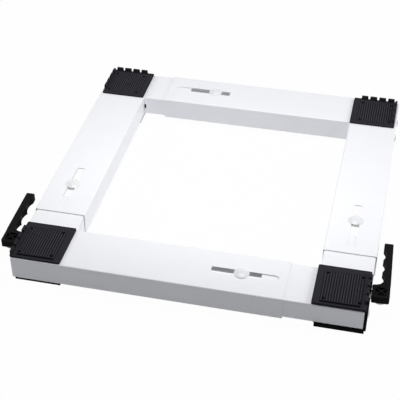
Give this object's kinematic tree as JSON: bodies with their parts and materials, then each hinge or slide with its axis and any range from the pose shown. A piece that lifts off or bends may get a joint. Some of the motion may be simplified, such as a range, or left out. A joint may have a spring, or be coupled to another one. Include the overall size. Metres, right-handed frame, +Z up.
{
  "type": "washing machine roller base",
  "caption": "Adjustable roller base for a washing machine or fridge: telescoping steel channels between roller corners with capped pads, clamp bolts and swing-out lever handles.",
  "frame": {"origin": "on the floor, under the middle of the whole base with its handles", "axes": "+X to the right seen from the front, +Y to the back, +Z up from the floor"},
  "size_m": [0.5569, 0.5214, 0.051],
  "materials": {
    "white_steel": "white powder coat, satin",
    "white_bolt": "white paint, semi-gloss",
    "charcoal_plastic": "moulded charcoal plastic, fine grain",
    "black_rubber": "moulded rubber, ribbed",
    "black_plastic": "moulded black plastic, satin",
    "grey_nylon": "turned light grey nylon",
    "zinc_steel": "bright zinc plate"
  },
  "bodies": {
    "back_left": {"cap_back_left": "charcoal_plastic", "mat_back_left": "black_rubber", "housing_back_left": "black_plastic", "axle_back_left_1": "zinc_steel", "axle_back_left_2": "zinc_steel", "sleeve_left": "white_steel", "inner_back": "white_steel"},
    "front_left": {"cap_front_left": "charcoal_plastic", "mat_front_left": "black_rubber", "housing_front_left": "black_plastic", "axle_front_left_1": "zinc_steel", "axle_front_left_2": "zinc_steel", "sleeve_front": "white_steel", "inner_left": "white_steel", "handle_bracket_left": "white_steel", "handle_pin_left": "zinc_steel"},
    "back_right": {"cap_back_right": "charcoal_plastic", "mat_back_right": "black_rubber", "housing_back_right": "black_plastic", "axle_back_right_1": "zinc_steel", "axle_back_right_2": "zinc_steel", "sleeve_right": "white_steel", "sleeve_back": "white_steel"},
    "front_right": {"cap_front_right": "charcoal_plastic", "mat_front_right": "black_rubber", "housing_front_right": "black_plastic", "axle_front_right_1": "zinc_steel", "axle_front_right_2": "zinc_steel", "inner_front": "white_steel", "inner_right": "white_steel", "handle_bracket_right": "white_steel", "handle_pin_right": "zinc_steel"},
    "bolt_front": {"clamp_bolt_front": "white_bolt"},
    "bolt_back": {"clamp_bolt_back": "white_bolt"},
    "bolt_left": {"clamp_bolt_left": "white_bolt"},
    "bolt_right": {"clamp_bolt_right": "white_bolt"},
    "nut_front": {"clamp_nut_front": "zinc_steel"},
    "nut_back": {"clamp_nut_back": "zinc_steel"},
    "nut_left": {"clamp_nut_left": "zinc_steel"},
    "nut_right": {"clamp_nut_right": "zinc_steel"},
    "lever_left": {"handle_left": "black_plastic"},
    "lever_right": {"handle_right": "black_plastic"},
    "wheel_front_left_1": {"roller_front_left_1": "grey_nylon"},
    "wheel_front_left_2": {"roller_front_left_2": "grey_nylon"},
    "wheel_front_left_3": {"roller_front_left_3": "grey_nylon"},
    "wheel_front_left_4": {"roller_front_left_4": "grey_nylon"},
    "wheel_front_right_1": {"roller_front_right_1": "grey_nylon"},
    "wheel_front_right_2": {"roller_front_right_2": "grey_nylon"},
    "wheel_front_right_3": {"roller_front_right_3": "grey_nylon"},
    "wheel_front_right_4": {"roller_front_right_4": "grey_nylon"},
    "wheel_back_left_1": {"roller_back_left_1": "grey_nylon"},
    "wheel_back_left_2": {"roller_back_left_2": "grey_nylon"},
    "wheel_back_left_3": {"roller_back_left_3": "grey_nylon"},
    "wheel_back_left_4": {"roller_back_left_4": "grey_nylon"},
    "wheel_back_right_1": {"roller_back_right_1": "grey_nylon"},
    "wheel_back_right_2": {"roller_back_right_2": "grey_nylon"},
    "wheel_back_right_3": {"roller_back_right_3": "grey_nylon"},
    "wheel_back_right_4": {"roller_back_right_4": "grey_nylon"}
  },
  "joints": [
    {"name": "width", "type": "slide", "parent": "back_left", "child": "back_right", "axis": [1, 0, 0], "range_m": [-0.02, 0.11]},
    {"name": "depth_left", "type": "slide", "parent": "back_left", "child": "front_left", "axis": [0, -1, 0], "range_m": [-0.02, 0.11]},
    {"name": "depth_right", "type": "slide", "parent": "back_right", "child": "front_right", "axis": [0, -1, 0], "range_m": [-0.02, 0.11]},
    {"name": "bolt_front_slide", "type": "slide", "parent": "front_left", "child": "bolt_front", "axis": [1, 0, 0], "range_m": [-0.0385, 0.0035]},
    {"name": "bolt_back_slide", "type": "slide", "parent": "back_right", "child": "bolt_back", "axis": [-1, 0, 0], "range_m": [-0.021, 0.019]},
    {"name": "bolt_left_slide", "type": "slide", "parent": "back_left", "child": "bolt_left", "axis": [0, -1, 0], "range_m": [-0.036, 0.004]},
    {"name": "bolt_right_slide", "type": "slide", "parent": "back_right", "child": "bolt_right", "axis": [0, -1, 0], "range_m": [-0.0295, 0.0095]},
    {"name": "nut_front_turn", "type": "hinge", "parent": "bolt_front", "child": "nut_front", "pos_m": [0.07476, -0.221, 0.036], "axis": [0, 0, 1], "continuous": true},
    {"name": "nut_back_turn", "type": "hinge", "parent": "bolt_back", "child": "nut_back", "pos_m": [-0.05874, 0.22525, 0.036], "axis": [0, 0, 1], "continuous": true},
    {"name": "nut_left_turn", "type": "hinge", "parent": "bolt_left", "child": "nut_left", "pos_m": [-0.21674, -0.07775, 0.036], "axis": [0, 0, 1], "continuous": true},
    {"name": "nut_right_turn", "type": "hinge", "parent": "bolt_right", "child": "nut_right", "pos_m": [0.21626, -0.07125, 0.036], "axis": [0, 0, 1], "continuous": true},
    {"name": "lever_left_swing", "type": "hinge", "parent": "front_left", "child": "lever_left", "pos_m": [-0.26425, -0.21825, 0.035], "axis": [0, 0, 1], "range_deg": [0, 90]},
    {"name": "lever_right_swing", "type": "hinge", "parent": "front_right", "child": "lever_right", "pos_m": [0.26575, -0.21825, 0.035], "axis": [0, 0, 1], "range_deg": [-90, 0]},
    {"name": "roll_front_left_1", "type": "hinge", "parent": "front_left", "child": "wheel_front_left_1", "pos_m": [-0.2295, -0.23725, 0.0185], "axis": [1, 0, 0], "continuous": true},
    {"name": "roll_front_left_2", "type": "hinge", "parent": "front_left", "child": "wheel_front_left_2", "pos_m": [-0.1995, -0.23725, 0.0185], "axis": [1, 0, 0], "continuous": true},
    {"name": "roll_front_left_3", "type": "hinge", "parent": "front_left", "child": "wheel_front_left_3", "pos_m": [-0.2295, -0.19125, 0.0185], "axis": [1, 0, 0], "continuous": true},
    {"name": "roll_front_left_4", "type": "hinge", "parent": "front_left", "child": "wheel_front_left_4", "pos_m": [-0.1995, -0.19125, 0.0185], "axis": [1, 0, 0], "continuous": true},
    {"name": "roll_front_right_1", "type": "hinge", "parent": "front_right", "child": "wheel_front_right_1", "pos_m": [0.231, -0.23725, 0.0185], "axis": [1, 0, 0], "continuous": true},
    {"name": "roll_front_right_2", "type": "hinge", "parent": "front_right", "child": "wheel_front_right_2", "pos_m": [0.201, -0.23725, 0.0185], "axis": [1, 0, 0], "continuous": true},
    {"name": "roll_front_right_3", "type": "hinge", "parent": "front_right", "child": "wheel_front_right_3", "pos_m": [0.231, -0.19125, 0.0185], "axis": [1, 0, 0], "continuous": true},
    {"name": "roll_front_right_4", "type": "hinge", "parent": "front_right", "child": "wheel_front_right_4", "pos_m": [0.201, -0.19125, 0.0185], "axis": [1, 0, 0], "continuous": true},
    {"name": "roll_back_left_1", "type": "hinge", "parent": "back_left", "child": "wheel_back_left_1", "pos_m": [-0.2295, 0.23375, 0.0185], "axis": [1, 0, 0], "continuous": true},
    {"name": "roll_back_left_2", "type": "hinge", "parent": "back_left", "child": "wheel_back_left_2", "pos_m": [-0.1995, 0.23375, 0.0185], "axis": [1, 0, 0], "continuous": true},
    {"name": "roll_back_left_3", "type": "hinge", "parent": "back_left", "child": "wheel_back_left_3", "pos_m": [-0.2295, 0.18775, 0.0185], "axis": [1, 0, 0], "continuous": true},
    {"name": "roll_back_left_4", "type": "hinge", "parent": "back_left", "child": "wheel_back_left_4", "pos_m": [-0.1995, 0.18775, 0.0185], "axis": [1, 0, 0], "continuous": true},
    {"name": "roll_back_right_1", "type": "hinge", "parent": "back_right", "child": "wheel_back_right_1", "pos_m": [0.231, 0.23375, 0.0185], "axis": [1, 0, 0], "continuous": true},
    {"name": "roll_back_right_2", "type": "hinge", "parent": "back_right", "child": "wheel_back_right_2", "pos_m": [0.201, 0.23375, 0.0185], "axis": [1, 0, 0], "continuous": true},
    {"name": "roll_back_right_3", "type": "hinge", "parent": "back_right", "child": "wheel_back_right_3", "pos_m": [0.231, 0.18775, 0.0185], "axis": [1, 0, 0], "continuous": true},
    {"name": "roll_back_right_4", "type": "hinge", "parent": "back_right", "child": "wheel_back_right_4", "pos_m": [0.201, 0.18775, 0.0185], "axis": [1, 0, 0], "continuous": true}
  ],
  "couplings": [
    {"joint": "depth_right", "follows": "depth_left", "ratio": 1}
  ]
}
